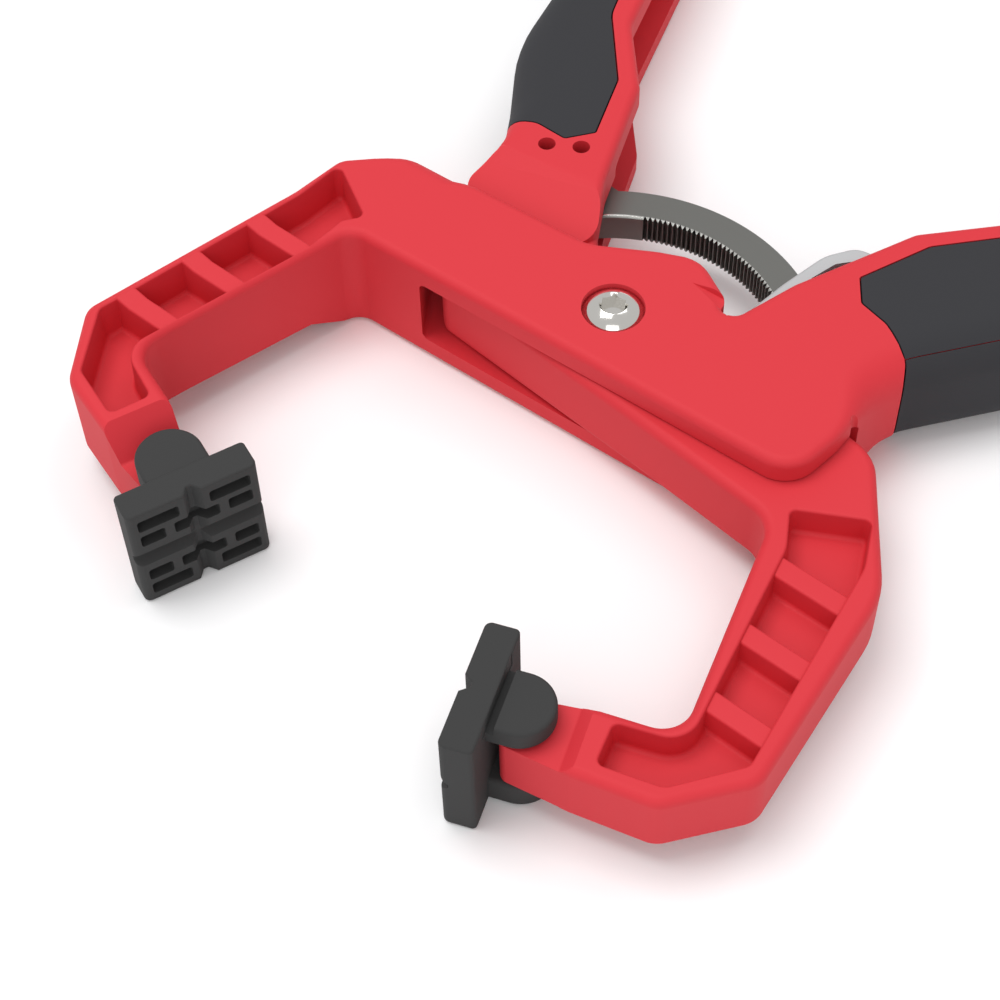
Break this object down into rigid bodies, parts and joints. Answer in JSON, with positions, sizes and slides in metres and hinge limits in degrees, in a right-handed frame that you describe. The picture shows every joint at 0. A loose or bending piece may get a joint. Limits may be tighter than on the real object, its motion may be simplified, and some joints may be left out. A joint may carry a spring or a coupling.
{
  "type": "ratcheting hand clamp",
  "caption": "One-hand ratcheting clamp with crossing C-shaped jaws, swivelling grooved pads, a toothed arc bar, a finger release lever and rubber grips.",
  "frame": {"origin": "pivot axis of the two arms, at the underside that the clamp rests on", "axes": "+Z along the pivot axis, up; +Y towards the handles, so the jaws point to -Y; +X towards the release lever and the fork arm's handle"},
  "size_m": [0.1445, 0.1899, 0.0245],
  "materials": {
    "red_nylon": "satin moulded glass-filled nylon with a fine mould texture",
    "soft_grip_rubber": "matte soft-touch overmoulding",
    "pad_rubber": "satin moulded rubber",
    "nickel_plate": "polished nickel plating",
    "oiled_steel": "dark oiled hardened steel",
    "cast_zinc": "rough tumbled die-cast zinc"
  },
  "bodies": {
    "fork": {"fork_arm": "red_nylon", "fork_grip": "soft_grip_rubber", "pivot_screw": "nickel_plate", "pivot_barrel_nut": "nickel_plate", "lever_pin": "oiled_steel", "lever_spring": "oiled_steel", "left_pad_pin": "oiled_steel"},
    "tongue": {"tongue_arm": "red_nylon", "tongue_grip": "soft_grip_rubber", "ratchet_bar": "oiled_steel", "inner_bar_pin": "oiled_steel", "outer_bar_pin": "oiled_steel", "upper_washer": "oiled_steel", "lower_washer": "oiled_steel", "opening_spring": "oiled_steel", "right_pad_pin": "oiled_steel"},
    "lever": {"release_lever": "cast_zinc", "ratchet_pawl": "oiled_steel"},
    "left_pad": {"left_pad": "pad_rubber"},
    "right_pad": {"right_pad": "pad_rubber"}
  },
  "joints": [
    {"name": "jaw_hinge", "type": "hinge", "parent": "fork", "child": "tongue", "pos_m": [0, 0, 0.0116], "axis": [0, 0, 1], "range_deg": [-38, 2]},
    {"name": "lever_hinge", "type": "hinge", "parent": "fork", "child": "lever", "pos_m": [0.036, 0.0415, 0.0116], "axis": [0, 0, 1], "range_deg": [-4.5, 0], "stiffness_Nm_per_rad": 0.3, "springref_deg": 5.73},
    {"name": "left_pad_swivel", "type": "hinge", "parent": "fork", "child": "left_pad", "pos_m": [-0.0366, -0.06975, 0.0116], "axis": [0, 0, 1], "range_deg": [-10, 10]},
    {"name": "right_pad_swivel", "type": "hinge", "parent": "tongue", "child": "right_pad", "pos_m": [0.0366, -0.06975, 0.0116], "axis": [0, 0, 1], "range_deg": [-10, 10]}
  ]
}
